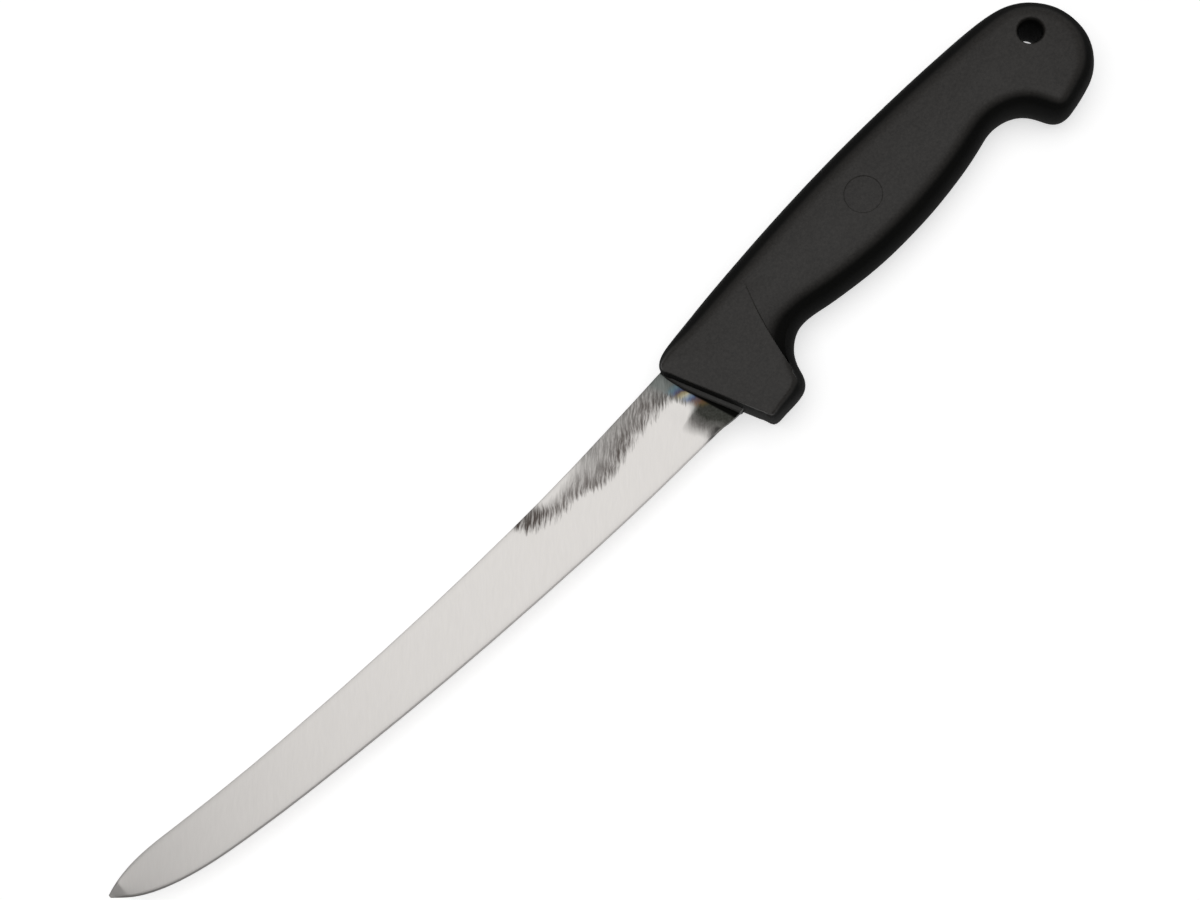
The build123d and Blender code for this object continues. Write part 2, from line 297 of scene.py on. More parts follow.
    # Temper fringes run out from under the handle, in patches
    patchy = add(noise, {"Vector": place, "Scale": spec["patchScale"], "Detail": 3.0})
    fringe = add(calc, {0: ahead, 1: spec["temperSlant"], 2: depth}, operation="MULTIPLY_ADD")
    fringe = add(calc, {0: patchy, 1: spec["temperPatch"], 2: fringe}, operation="MULTIPLY_ADD")
    fringe = add(calc, {0: fringe, 1: spec["temperPatch"] / 2}, operation="SUBTRACT")
    fringe = add(spread, {"Value": fringe, "From": spec["temperSpan"]})
    temper = add("ShaderNodeValToRGB", {0: fringe}, stops=spec["temper"])
    ragged = add(calc, {0: marks, 1: spec["temperRagged"], 2: ahead}, operation="MULTIPLY_ADD")
    near = add(spread, {"Value": ragged, "From": spec["temperEnd"], "To": (0.0, 0.85)})
    upper = add(spread, {"Value": depth, "From": spec["temperFoot"]})
    near = add(calc, {0: near, 1: upper}, operation="MULTIPLY")
    colour = add(mix, {0: near, 6: colour, 7: temper}, data_type="RGBA")

    # Painted shadow: a near black strip on the blade in the corner against the collar, up to the nearer
    # of two lines
    top, low = (add(calc, {0: depth, 1: growth, 2: start}, operation="MULTIPLY_ADD")
                for start, growth in (spec["paintedShadowTop"], spec["paintedShadowLow"]))
    paintedShadow = add(calc, {0: top, 1: low}, operation="MINIMUM")
    paintedShadow = add(calc, {0: paintedShadow, 1: ahead}, operation="SUBTRACT")
    paintedShadow = add(spread, {"Value": paintedShadow, "From": spec["paintedShadowFade"]})
    colour = add(mix, {0: paintedShadow, 6: colour, 7: toLinear(spec["paintedShadowColour"])}, data_type="RGBA")

    dullness = add(spread, {"Value": haze, "To": spec["roughness"]})
    relief = add("ShaderNodeBump", {"Height": marks, "Strength": 0.15,
                                    "Distance": spec["markRelief"] * mm})
    tree.links.new(colour.outputs[2], shader.inputs["Base Color"])
    tree.links.new(dullness.outputs[0], shader.inputs["Roughness"])
    tree.links.new(relief.outputs[0], shader.inputs["Normal"])
    return material


def dress(node, material):
    # A frame node keeps its shape and takes a new finish
    node.data.materials.clear()
    node.data.materials.append(material)


groundBladeSteel = groundSteel(steelSet)
dress(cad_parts["blade"], groundBladeSteel)
print("steel:", groundBladeSteel.name)

# The ground blade follows a rule: at each station along it the spine and the edge come from the
# frame's blade, and the section between them is a flat taper with a rounded spine and an even
# bevel. Lengths are in mm
bladeSet = {
    "tip": -198.36,                   # along the knife, from the top of the handle's front face
    "heel": 3.4,                      # the ground part ends behind the front face
    "slantFrom": -42.0,               # stations lean over to the front face's slope from here
    "heelHeight": 22.15,
    "stations": 260,
    "tipCrowding": 1.4,
    "around": 40,                     # faces round a section, a multiple of 40
    "stretches": (0.0, 0.15, 0.75, 0.9, 1.0),     # how those are shared out up the section
    "smoothing": 4,                   # rounds along the spine and the edge
    "spineThickness": 2.0,
    "tipThickness": 0.9,
    "edgeThickness": 0.3,
    "bevelHeight": 0.6,
    "spineRounding": 0.3,
    "fullHeight": 5.5,                # lower sections, near the tip, are thinner
    "bevelShare": 0.25,
    "runOutFrom": -3.0,               # the grind stops short of the handle, at the edge
    "runOutTo": 3.8,
    "bevelEnd": (0.6, 0.06),          # past this share of the run-out the bevel sinks to this share
    "tangFrom": 2.4,                  # behind the front face
    "tangShare": 0.985,               # drawn in, so that its faces lie inside the ground part's
}


def bladeTree(spec, material):
    tree = bpy.data.node_groups.new("ground_blade", "GeometryNodeTree")
    tree.interface.new_socket("Geometry", in_out="OUTPUT", socket_type="NodeSocketGeometry")
    inputs = {"bladeShape": None, "tang": None, "material": material, "frontSlope": frontSlope}
    inputs.update({key: spec[key] for key in ("stations", "around", "tipCrowding", "bevelShare")})
    inputs.update({key: spec[key] * mm for key in (
        "tip", "heel", "slantFrom", "heelHeight", "spineThickness", "tipThickness", "edgeThickness",
        "bevelHeight", "spineRounding", "fullHeight", "runOutFrom", "runOutTo")})
    for name, value in inputs.items():
        kind = {int: "Int", float: "Float", type(None): "Object"}.get(type(value), "Material")
        tree.interface.new_socket(name, in_out="INPUT", socket_type="NodeSocket" + kind)
    add = partial(addNode, tree)
    given = add("NodeGroupInput").outputs
    calc, spread, mix = "ShaderNodeMath", "ShaderNodeMapRange", "ShaderNodeMix"
    datum = [v * mm for v in knifeDatum]

    # A grid: its first side runs along the blade, its second round the section from the edge, over
    # the spine, and back to the edge
    grid = add("GeometryNodeMeshGrid", {"Size X": 1.0, "Size Y": 1.0})
    for name, source in (("Vertices X", "stations"), ("Vertices Y", "around")):
        count = add(calc, {0: given[source], 1: 1.0}, operation="ADD")
        tree.links.new(count.outputs[0], grid.inputs[name])
    position = add("GeometryNodeInputPosition")
    position = add("ShaderNodeSeparateXYZ", {0: position}).outputs
    run = add(calc, {0: position[0], 1: 0.5}, operation="ADD", use_clamp=True)
    turn = add(calc, {0: position[1], 1: -2.0}, operation="MULTIPLY")
    side = add(calc, {0: turn}, operation="SIGN")
    climb = add(calc, {0: turn}, operation="ABSOLUTE")
    climb = add(calc, {0: 1.0, 1: climb}, operation="SUBTRACT")

    # How far along each station's points at the spine and at the edge are
    crowded = add(calc, {0: run, 1: given["tipCrowding"]}, operation="POWER")
    topX = add(spread, {"Value": crowded, "To": (given["tip"], given["heel"])})
    lean = add(spread, {"Value": topX, "From": (given["slantFrom"], 0.0)},
               interpolation_type="SMOOTHSTEP")
    for factor in ("frontSlope", "heelHeight"):
        lean = add(calc, {0: lean, 1: given[factor]}, operation="MULTIPLY")
    lowX = add(calc, {0: topX, 1: lean}, operation="ADD")

    # Their heights are read from the frame's blade by rays from above and from below
    shape = add("GeometryNodeObjectInfo", {"Object": given["bladeShape"]})
    clear, offMiddle = 0.1, 0.004 * mm    # rays start outside, and run along none of its edges
    found = []
    for along, start, heading in ((topX, clear, -1.0), (lowX, -clear, 1.0)):
        worldX = add(calc, {0: along, 1: datum[0]}, operation="ADD")
        source = add("ShaderNodeCombineXYZ", {0: worldX, 1: datum[1] + start, 2: datum[2] + offMiddle})
        ray = add("GeometryNodeRaycast", {
            "Target Geometry": shape.outputs["Geometry"], "Source Position": source,
            "Ray Direction": (0.0, heading, 0.0), "Ray Length": 2 * clear})
        height = add(calc, {0: ray.outputs["Hit Distance"], 1: heading, 2: start},
                     operation="MULTIPLY_ADD")
        height = add("GeometryNodeSwitch", {0: ray.outputs["Is Hit"], 1: 0.0, 2: height},
                     input_type="FLOAT")
        found.append(add("GeometryNodeBlurAttribute", {0: height, "Iterations": spec["smoothing"]}))
    spineY, edgeY = found
    tall = add(calc, {0: spineY, 1: edgeY}, operation="SUBTRACT")

    # Thicknesses and the bevel's height at each station
    full = add(calc, {0: tall, 1: given["fullHeight"]}, operation="DIVIDE", use_clamp=True)
    length = add(spread, {"Value": topX, "From": (given["tip"], 0.0)})
    spineHalf = add(spread, {"Value": length, "To": (given["tipThickness"], given["spineThickness"])})
    for factor in (0.5, full):
        spineHalf = add(calc, {0: spineHalf, 1: factor}, operation="MULTIPLY")
    unground = add(spread, {"Value": lowX, "From": (given["runOutFrom"], given["runOutTo"])},
                   interpolation_type="SMOOTHSTEP")
    edgeHalf = add(calc, {0: given["edgeThickness"], 1: 0.5}, operation="MULTIPLY")
    edgeHalf = add(calc, {0: edgeHalf, 1: full}, operation="MULTIPLY")
    edgeHalf = add(mix, {0: unground, 2: edgeHalf, 3: spineHalf})
    bevel = add(calc, {0: tall, 1: given["bevelShare"]}, operation="MULTIPLY")
    bevel = add(calc, {0: bevel, 1: given["bevelHeight"]}, operation="MINIMUM")
    sinkFrom, left = spec["bevelEnd"]
    sunk = add(spread, {"Value": unground, "From": (sinkFrom, 1.0), "To": (1.0, left)})
    bevel = add(calc, {0: bevel, 1: sunk}, operation="MULTIPLY")
    rounding = add(calc, {0: given["spineRounding"], 1: full}, operation="MULTIPLY")

    # Four stretches up the section: bevel, flank, corner of the spine, top of the spine
    bevelPart, flankPart, cornerTurn, topPart = (
        add(spread, {"Value": climb, "From": spec["stretches"][k:k + 2], "To": (0.0, most)})
        for k, most in enumerate((1.0, 1.0, math.pi / 2, 1.0)))
    rise = add(calc, {0: cornerTurn}, operation="SINE")
    turnIn = add(calc, {0: cornerTurn}, operation="COSINE")
    flank = add(calc, {0: tall, 1: bevel}, operation="SUBTRACT")
    flank = add(calc, {0: flank, 1: rounding}, operation="SUBTRACT")
    y = edgeY
    for size, part in ((bevel, bevelPart), (flank, flankPart), (rounding, rise)):
        y = add(calc, {0: size, 1: part, 2: y}, operation="MULTIPLY_ADD")
    z = add(calc, {0: edgeHalf, 1: bevelPart}, operation="MULTIPLY")
    taper = add(calc, {0: spineHalf, 1: edgeHalf}, operation="SUBTRACT")
    corner = add(calc, {0: turnIn, 1: 1.0}, operation="SUBTRACT")
    for size, part in ((taper, flankPart), (rounding, corner)):
        z = add(calc, {0: size, 1: part, 2: z}, operation="MULTIPLY_ADD")
    shut = add(calc, {0: 1.0, 1: topPart}, operation="SUBTRACT")
    for factor in (shut, side):
        z = add(calc, {0: z, 1: factor}, operation="MULTIPLY")
    share = add(calc, {0: y, 1: edgeY}, operation="SUBTRACT")
    share = add(calc, {0: share, 1: tall}, operation="DIVIDE", use_clamp=True)
    x = add(mix, {0: share, 2: lowX, 3: topX})

    # Both ends close on one point
    start = add(calc, {0: run, 1: 1e-4}, operation="LESS_THAN")
    finish = add(calc, {0: run, 1: 1 - 1e-4}, operation="GREATER_THAN")
    end = add(calc, {0: start, 1: finish}, operation="ADD")
    middleY = add(mix, {0: 0.5, 2: spineY, 3: edgeY})
    middleX = add(mix, {0: 0.5, 2: lowX, 3: topX})
    x, y, z = (add(mix, {0: end, 2: free, 3: middle})
               for free, middle in ((x, middleX), (y, middleY), (z, 0.0)))
    place = add("ShaderNodeCombineXYZ", {0: x, 1: y, 2: z})
    place = add("ShaderNodeVectorMath", {0: place, 1: datum}, operation="ADD")
    placed = add("GeometryNodeSetPosition", {"Geometry": grid, "Position": place})
    closed = add("GeometryNodeMergeByDistance", {"Geometry": placed, "Distance": 0.002 * mm})
    tang = add("GeometryNodeObjectInfo", {"Object": given["tang"]}).outputs["Geometry"]
    whole = add("GeometryNodeJoinGeometry", {0: closed})
    tree.links.new(tang, whole.inputs[0])
    whole = add("GeometryNodeRealizeInstances", {0: whole})
    whole = add("GeometryNodeSetMaterial", {"Geometry": whole, "Material": given["material"]})
    add("NodeGroupOutput", {0: whole})
    return tree, inputs


def closedCut(source, point, normal, share):
    # A closed copy of what a plane's normal points to in a frame mesh, drawn in across its length
    # to a share of its size
    cut = mergedShape(source.data)
    whole = cut.verts[:] + cut.edges[:] + cut.faces[:]
    bmesh.ops.bisect_plane(cut, geom=whole, plane_co=point, plane_no=normal, clear_inner=True)
    bmesh.ops.holes_fill(cut, edges=[e for e in cut.edges if e.is_boundary], sides=0)
    bmesh.ops.recalc_face_normals(cut, faces=cut.faces)
    middle = Vector(np.mean([(v.co.x, v.co.y, v.co.z) for v in cut.verts], axis=0))
    for vertex in cut.verts:
        vertex.co.yz = middle.yz + (vertex.co.yz - middle.yz) * share
    mesh = bpy.data.meshes.new(source.name + "_cut")
    cut.to_mesh(mesh)
    cut.free()
    return mesh


def evaluated(name, tree, values):
    # The plain mesh that a geometry nodes tree makes
    holder = addObject(name, bpy.data.meshes.new(name))
    modifier = holder.modifiers.new("nodes", "NODES")
    modifier.node_group = tree
    for item in tree.interface.items_tree:
        if item.item_type == "SOCKET" and item.in_out == "INPUT":
            modifier[item.identifier] = values[item.name]
    graph = bpy.context.evaluated_depsgraph_get()
    mesh = bpy.data.meshes.new_from_object(holder.evaluated_get(graph), depsgraph=graph)
    holder.modifiers.clear()
    bpy.data.objects.remove(holder)
    for k in reversed(range(len(mesh.materials))):
        if mesh.materials[k] is None:     # a joined mesh that had no material leaves an empty slot
            mesh.materials.pop(index=k)
    return mesh


def makeBlade(spec):
    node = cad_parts["blade"]
    front = [(knifeDatum[0] + spec["tangFrom"]) * mm, knifeDatum[1] * mm, 0]
    tang = addObject("tang", closedCut(node, front, (1, frontSlope, 0), spec["tangShare"]))
    tree, values = bladeTree(spec, groundBladeSteel)
    values.update({"bladeShape": node, "tang": tang})
    mesh = evaluated("ground_blade", tree, values)
    bpy.data.objects.remove(tang)
    mesh.name = "ground_blade"
    mesh.shade_smooth()
    mesh.set_sharp_from_angle(angle=math.radians(25))
    print("blade:", len(mesh.polygons), "faces, material", [m.name for m in mesh.materials])
    return addObject("ground_blade", mesh)


groundBlade = makeBlade(bladeSet)
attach(groundBlade, "root")
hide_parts("blade")

# Plastics: the grip and the collar of the core are one black polypropylene. Their flats are coloured
# dark grey and are smoother, and the rounded sides are coloured near black and are matt: that darker
# colour of the sides is painted shade. Each pair is for the sides and for the flats, which start
# between two distances from the middle
plasticSet = {
    "grip": {"colours": ("#060605", "#2a2826"), "roughness": (0.85, 0.47), "shine": (0.12, 0.32),
             "flats": (6.6, 8.1), "grain": 0.7, "relief": 0.045},
    "core": {"colours": ("#060605", "#2a2927"), "roughness": (0.6, 0.42), "shine": (0.2, 0.3),
             "flats": (1.7, 2.1), "grain": 0.45, "relief": 0.006},
    "patch": 9.0,                     # mm, of slightly more and less roughness
    "patchRoughness": 0.02,
    "fleck": (0.6, 1.4),              # how much the grain darkens and lightens the colour
}


def mouldedPlastic(name, spec):
    # Moulded polypropylene from a spark-eroded mould: near black, with a broad grey sheen that its
    # fine grain breaks up, and painted shade that colours the rounded sides darker than the flats.
    # Real grain is 0.1 mm across: drawn four to seven times coarser to show
    material = bpy.data.materials.new(name)
    material.use_nodes = True
    tree = material.node_tree
    shader = tree.nodes["Principled BSDF"]
    shader.distribution = "GGX"
    shader.inputs["IOR"].default_value = 1.49
    add = partial(addNode, tree)
    calc, noise = "ShaderNodeMath", "ShaderNodeTexNoise"
    spread, mix = "ShaderNodeMapRange", "ShaderNodeMix"
    place = add("ShaderNodeTexCoord").outputs["Object"]
    height = add("ShaderNodeSeparateXYZ", {0: place}).outputs["Z"]
    height = add(calc, {0: height, 1: knifeDatum[2] * mm}, operation="SUBTRACT")
    height = add(calc, {0: height}, operation="ABSOLUTE")
    paintedShadeToFlat = add(spread, {"Value": height, "From": [d * mm for d in spec["flats"]]},
               interpolation_type="SMOOTHSTEP")
    grain = add(noise, {"Vector": place, "Scale": 1 / (spec["grain"] * mm), "Detail": 4.0,
                        "Roughness": 0.7})
    patches = add(noise, {"Vector": place, "Scale": 1 / (plasticSet["patch"] * mm), "Detail": 3.0})
    # Painted shade: the rounded sides are coloured near black and the flats dark grey, by height
    side, flat = (toLinear(c) for c in spec["colours"])
    colour = add(mix, {0: paintedShadeToFlat, 6: side, 7: flat}, data_type="RGBA")
    fleck = add(spread, {"Value": grain, "From": (0.3, 0.7), "To": plasticSet["fleck"]})
    colour = add("ShaderNodeVectorMath", {0: colour, "Scale": fleck}, operation="SCALE")
    soft, shine = (add(mix, {0: paintedShadeToFlat, 2: onSide, 3: onFlat})
                   for onSide, onFlat in (spec["roughness"], spec["shine"]))
    most = plasticSet["patchRoughness"]
    uneven = add(spread, {"Value": patches, "From": (0.3, 0.7), "To": (-most, most)})
    soft = add(calc, {0: soft, 1: uneven}, operation="ADD")
    relief = add("ShaderNodeBump", {"Height": grain, "Strength": 0.6, "Distance": spec["relief"] * mm})
    tree.links.new(colour.outputs[0], shader.inputs["Base Color"])
    tree.links.new(shine.outputs[0], shader.inputs["Specular IOR Level"])   # grain scatters the rest
    tree.links.new(soft.outputs[0], shader.inputs["Roughness"])
    tree.links.new(relief.outputs[0], shader.inputs["Normal"])
    return material


gripPlastic = mouldedPlastic("spark_eroded_black_polypropylene", plasticSet["grip"])
corePlastic = mouldedPlastic("moulded_black_polypropylene", plasticSet["core"])
dress(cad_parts["core"], corePlastic)
dress(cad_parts["handle"], gripPlastic)
print("plastics:", gripPlastic.name, "and", corePlastic.name)

# Core: the frame's shape with the rim of its collar, in front of the handle, rounded over
coreSet = {
    "collarFace": 1.5,                # mm in front of the handle
    "rimRadius": 0.6,
    "rimSegments": 4,
    "slotClear": 1.2,                 # mm from the middle plane: the slot's own edges stay sharp
    "archFrom": -10.0,                # mm from the datum, up the blade: the collar's face curves back
    "archTop": -1.5,
    "archDepth": 1.3,
    "archPower": 1.6,
    "archSteps": 6,
    "foot": (-20.2, -22.2),           # its foot, moved down past the cutting edge
    "movedFrom": 0.3,                 # mm in front of the handle: what lies behind stays
}


def makeCore(spec):
    datum = np.array(knifeDatum)
    cut = mergedShape(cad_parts["core"].data)
    bmesh.ops.recalc_face_normals(cut, faces=cut.faces)
    bmesh.ops.dissolve_limit(cut, angle_limit=math.radians(1), verts=cut.verts, edges=cut.edges)

    def inFront(x, y):
        return -x - frontSlope * y

    def onFace(vertex):
        x, y, _ = np.array(vertex.co) / mm - datum
        return abs(inFront(x, y) - spec["collarFace"]) < 0.15

    rim = [e for e in cut.edges if onFace(e.verts[0]) and onFace(e.verts[1])
           and len(e.link_faces) == 2 and e.calc_face_angle() > 1.0
           and abs(e.verts[0].co.z / mm - datum[2]) > spec["slotClear"]]
    bmesh.ops.bevel(cut, geom=rim, offset=spec["rimRadius"] * mm, segments=spec["rimSegments"],
                    profile=0.5, affect="EDGES", clamp_overlap=True)

    # Cuts across the collar give its arch and its foot corners to move
    bend, top = spec["archFrom"], spec["archTop"]
    for y in np.linspace(bend, top, spec["archSteps"], endpoint=False):
        whole = cut.verts[:] + cut.edges[:] + cut.faces[:]
        bmesh.ops.bisect_plane(cut, geom=whole, plane_co=(datum + (0, y, 0)) * mm, plane_no=(0, 1, 0),
                               dist=1e-7)
    foot, lowered = spec["foot"]
    for vertex in cut.verts:
        x, y, z = np.array(vertex.co) / mm - datum
        if inFront(x, y) < spec["movedFrom"]:
            continue
        up = min(max((y - bend) / (top - bend), 0), 1)
        down = min(y - bend, 0) * (lowered - foot) / (foot - bend)
        x += spec["archDepth"] * up ** spec["archPower"] - frontSlope * down
        vertex.co = (np.array((x, y + down, z)) + datum) * mm
    return solidObject("core_collar", cut, corePlastic, 35)


coreCollar = makeCore(coreSet)
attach(coreCollar, "root")
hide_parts("core")


# Handle: the outline and the width of its rolled edge are read from the frame's handle, and the
# flanks are rebuilt with the guard's raised plate, its crease, the round recess and the hole
handleSet = {
    "halfThickness": 8.3,             # mm, like all lengths and places here, from the datum
    "sections": (2.6, 7.0),           # above the middle plane, clear of the collar's slot
    "spacing": 0.8,                   # between points along the outline
    "grid": 0.9,                      # between points inside the flank
    "smoothing": (6, 2, 4),           # rounds: the roll as read, the directions out, the final roll
    "ringAngles": (0, 6, 12, 19, 26, 34, 42),
    "innerAngles": (50, 58, 66, 74, 82, 90),
    "crease": ((32.2, 2.2), (28.6, -8.0), (26.4, -16.5), (24.9, -24.2)),
    "creasePoints": 40,
    "creaseWall": 0.28,
    "creaseStep": (0.22, 0.4),        # at the crease's top and at the notch
    "creaseOnset": 12.0,              # it comes in over a twelfth of the crease
    "creaseFade": 26.0,
    "creaseEase": 1.5,
    "plateRoll": 3.4,                 # the guard's rolled edge is narrower than the grip's
    "plateTop": (-6.0, 5.0),          # above this y it widens again by so much per mm
    "frontRoll": 0.55,                # and it is narrowest along the front face
    "frontFade": (0.3, 1.2),          # from this far in it widens by so much per mm
    "notchRoll": (31.0, 9.0, 8.6),    # middle, reach and width of the wide roll in the finger notch
    "notchBelow": -8.0,
    "crown": 0.3,
    "crownWidth": 9.0,
    "recess": (69.0, -4.2, 5.0, 0.2), # place, radius, depth
    "recessRim": 0.25,
    "recessPoints": 72,
    "hole": (128.6, -3.3, 3.0, 0.8),  # place, radius, width of its rounded rim
    "holeRim": 3.6,                   # depth of that rim
    "holePoints": 64,
    "rimShares": (0, 0.15, 0.4, 0.7, 1),
    "wallLevels": 9,
    "clear": 0.3,                     # loose points keep this far from lines
    "creaseClear": 0.45,
    "creaseReach": 20.0,
}


def sectionLoop(source, height):
    # The longest closed loop where a level plane cuts a mesh, as points in x and y
    cut = mergedShape(source.data, 1e-7)
    whole = cut.verts[:] + cut.edges[:] + cut.faces[:]
    found = bmesh.ops.bisect_plane(cut, geom=whole, plane_co=(0, 0, height), plane_no=(0, 0, 1))
    edges = {g for g in found["geom_cut"] if isinstance(g, bmesh.types.BMEdge)}
    loops = []
    while edges:
        first, last = edges.pop().verts
        points = [first.co.xy, last.co.xy]
        while step := next((e for e in last.link_edges if e in edges), None):
            edges.remove(step)
            last = step.other_vert(last)
            points.append(last.co.xy)
        loops.append(np.array(points))
    cut.free()
    return max(loops, key=lambda loop: np.ptp(loop[:, 0]))


def resample(loop, spacing):
    # Even points along a closed loop, anticlockwise
    if np.allclose(loop[0], loop[-1], atol=1e-7):
        loop = loop[:-1]
    closed = np.vstack([loop, loop[:1]])
    area = np.sum(closed[:-1, 0] * closed[1:, 1] - closed[1:, 0] * closed[:-1, 1])
    if area < 0:
        closed = closed[::-1]
    way = np.concatenate([[0], np.cumsum(np.hypot(*np.diff(closed, axis=0).T))])
    count = int(way[-1] / spacing)
    at = np.linspace(0, way[-1], count, endpoint=False)
    return np.stack([np.interp(at, way, closed[:, k]) for k in (0, 1)], axis=1)


def smoothed(values, rounds):
    for _ in range(rounds):
        values = (np.roll(values, 1, 0) + 2 * values + np.roll(values, -1, 0)) / 4
    return values


def outwards(loop):
    # Unit normals of an anticlockwise loop, pointing out
    along = np.roll(loop, -1, 0) - np.roll(loop, 1, 0)
    along /= np.hypot(*along.T)[:, None]
    return np.stack([along[:, 1], -along[:, 0]], axis=1)


def toLoop(points, loop):
    # Distance from each point to a closed loop, and where on the loop it is nearest
    start, run = loop, np.roll(loop, -1, 0) - loop
    lengths = np.maximum((run ** 2).sum(1), 1e-18)
    best, place = np.full(len(points), 1e9), np.zeros(len(points))
    for block in range(0, len(points), 500):
        offset = points[block:block + 500, None] - start[None]
        share = np.clip((offset * run[None]).sum(2) / lengths, 0, 1)
        away = np.hypot(*np.moveaxis(offset - share[..., None] * run[None], 2, 0))
        nearest = away.argmin(1)
        rows = np.arange(len(nearest))
        best[block:block + 500] = away[rows, nearest]
        place[block:block + 500] = nearest + share[rows, nearest]
    return best, place


def insideLoop(points, loop):
    inside = np.zeros(len(points), bool)
    for (x1, y1), (x2, y2) in zip(loop, np.roll(loop, -1, 0)):
        if y1 == y2:
            continue
        crosses = (points[:, 1] > min(y1, y2)) & (points[:, 1] <= max(y1, y2))
        inside ^= crosses & (points[:, 0] < x1 + (points[:, 1] - y1) * (x2 - x1) / (y2 - y1))
    return inside


def curveThrough(corners, count):
    # Catmull-Rom curve through a few points
    corners = np.array(corners)
    padded = np.vstack([2 * corners[0] - corners[1], corners, 2 * corners[-1] - corners[-2]])
    points = []
    for at in np.linspace(0, len(corners) - 1, count):
        k = min(int(at), len(corners) - 2)
        s = at - k
        a, b, c, d = padded[k:k + 4]
        points.append(0.5 * (2 * b + (c - a) * s + (2 * a - 5 * b + 4 * c - d) * s ** 2
                             + (3 * b - a - 3 * c + d) * s ** 3))
    return np.array(points)


def circleAt(centre, radius, count):
    turn = np.linspace(0, 2 * math.pi, count, endpoint=False)
    return np.array(centre) + radius * np.stack([np.cos(turn), np.sin(turn)], axis=1)


def wallFaces(start, levels, count, inwards=False):
    # Quads between stacked loops of count points, from vertex number start
    faces = []
    for k in range(levels - 1):
        for i in range(count):
            j = (i + 1) % count
            quad = (k * count + i, (k + 1) * count + i, (k + 1) * count + j, k * count + j)
            quad = quad[:1] + quad[:0:-1] if inwards else quad
            faces.append(tuple(start + n for n in quad))
    return faces


def makeHandle(spec):
    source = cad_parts["handle"]
    datum = np.array(knifeDatum)
    half = spec["halfThickness"]
    holeX, holeY, holeRadius, holeWidth = spec["hole"]
    recessX, recessY, recessRadius, recessDepth = spec["recess"]
    readRounds, outRounds, finalRounds = spec["smoothing"]

    # The edge is a quarter of an ellipse: two sections give its width and the outline
    low, high = (resample(sectionLoop(source, (datum[2] + h) * mm) / mm - datum[:2], spec["spacing"])
                 for h in spec["sections"])
    lowFactor, highFactor = (1 - math.sqrt(1 - (h / half) ** 2) for h in spec["sections"])
    roll = smoothed(toLoop(low, high)[0] / (highFactor - lowFactor), readRounds)
    outline = low + outwards(low) * (roll * lowFactor)[:, None]
    outward = smoothed(outwards(outline), outRounds)
    outward /= np.hypot(*outward.T)[:, None]

    # Crease: the raised guard plate lies in front of it, the grip's flank falls away behind it
    crease = curveThrough(spec["crease"], spec["creasePoints"])
    along = np.gradient(crease, axis=0)
    along /= np.hypot(*along.T)[:, None]
    backwards = np.stack([-along[:, 1], along[:, 0]], axis=1)

    def creaseSide(points):
        # Distance behind the crease, and how far down it that is
        offset = points[:, None] - crease[None]
        near = (offset ** 2).sum(2).argmin(1)
        side = ((points - crease[near]) * backwards[near]).sum(1)
        return side, near / (len(crease) - 1)

    def plateLimit(points):
        top, widening = spec["plateTop"]
        limit = spec["plateRoll"] + widening * np.clip(points[:, 1] - top, 0, None)
        start, widening = spec["frontFade"]
        inside = points[:, 0] + frontSlope * points[:, 1]
        return np.minimum(limit, spec["frontRoll"] + widening * np.clip(inside - start, 0, None))

    notchX, notchReach, notchWidth = spec["notchRoll"]
    side, _ = creaseSide(outline)
    wide = notchWidth * np.exp(-((outline[:, 0] - notchX) / notchReach) ** 2)
    behind = np.where(outline[:, 1] < spec["notchBelow"], np.maximum(roll, wide), roll)
    roll = smoothed(np.where(side < 0, np.minimum(roll, plateLimit(outline)), behind), finalRounds)

    def rollAt(points):
        # Distance in from the outline, and the roll's width there
        away, place = toLoop(points, outline)
        return away, np.interp(place, np.arange(len(roll) + 1), np.append(roll, roll[0]))

    def heightAt(points):
        away, width = rollAt(points)
        side, down = creaseSide(points)
        onPlate = side < spec["creaseWall"] / 2
        width = np.where(onPlate, np.minimum(width, plateLimit(points)), width)
        height = half * np.sqrt(1 - (1 - np.minimum(away / width, 1)) ** 2)
        height = height - spec["crown"] * np.clip(1 - (away - width) / spec["crownWidth"], 0, 1) ** 2
        topStep, notchStep = spec["creaseStep"]
        step = topStep + (notchStep - topStep) * down ** spec["creaseEase"]
        step = step * np.clip(down * spec["creaseOnset"], 0, 1)
        fade = np.clip(1 - side / spec["creaseFade"], 0, 1) ** spec["creaseEase"]
        height = np.where(onPlate, height, height - step * fade)
        fromRecess = np.hypot(points[:, 0] - recessX, points[:, 1] - recessY)
        height = height - recessDepth * np.clip((recessRadius - fromRecess) / spec["recessRim"], 0, 1)
        fromHole = np.hypot(points[:, 0] - holeX, points[:, 1] - holeY)
        into = np.clip(1 - (fromHole - holeRadius) / holeWidth, 0, 1)
        return height - spec["holeRim"] * (1 - np.sqrt(1 - into ** 2))

    # Rings down the steep part of the rolled edge
    rings = []
    for angle in spec["ringAngles"]:
        turn = math.radians(angle)
        ring = outline - outward * (roll * (1 - math.cos(turn)))[:, None]
        rings.append(np.column_stack([ring, np.full(len(ring), half * math.sin(turn))]))
    innerRing = rings[-1][:, :2]

    # Lines that faces keep to: the last ring, the hole's rim, the recess and the crease
    lines = [innerRing]
    lines += [circleAt((holeX, holeY), holeRadius + holeWidth * s, spec["holePoints"])
              for s in spec["rimShares"]]
    lines += [circleAt((recessX, recessY), recessRadius - spec["recessRim"] * s, spec["recessPoints"])
              for s in (0, 1)]
    points, edges = [], []
    for line in lines:
        start = sum(len(p) for p in points)
        edges += [(start + k, start + (k + 1) % len(line)) for k in range(len(line))]
        points.append(line)
    for line in (crease, crease + backwards * spec["creaseWall"]):
        start = sum(len(p) for p in points)
        line = line[(toLoop(line, innerRing)[0] > spec["clear"] / 2) & insideLoop(line, innerRing)]
        edges += [(start + k, start + k + 1) for k in range(len(line) - 1)]
        points.append(line)

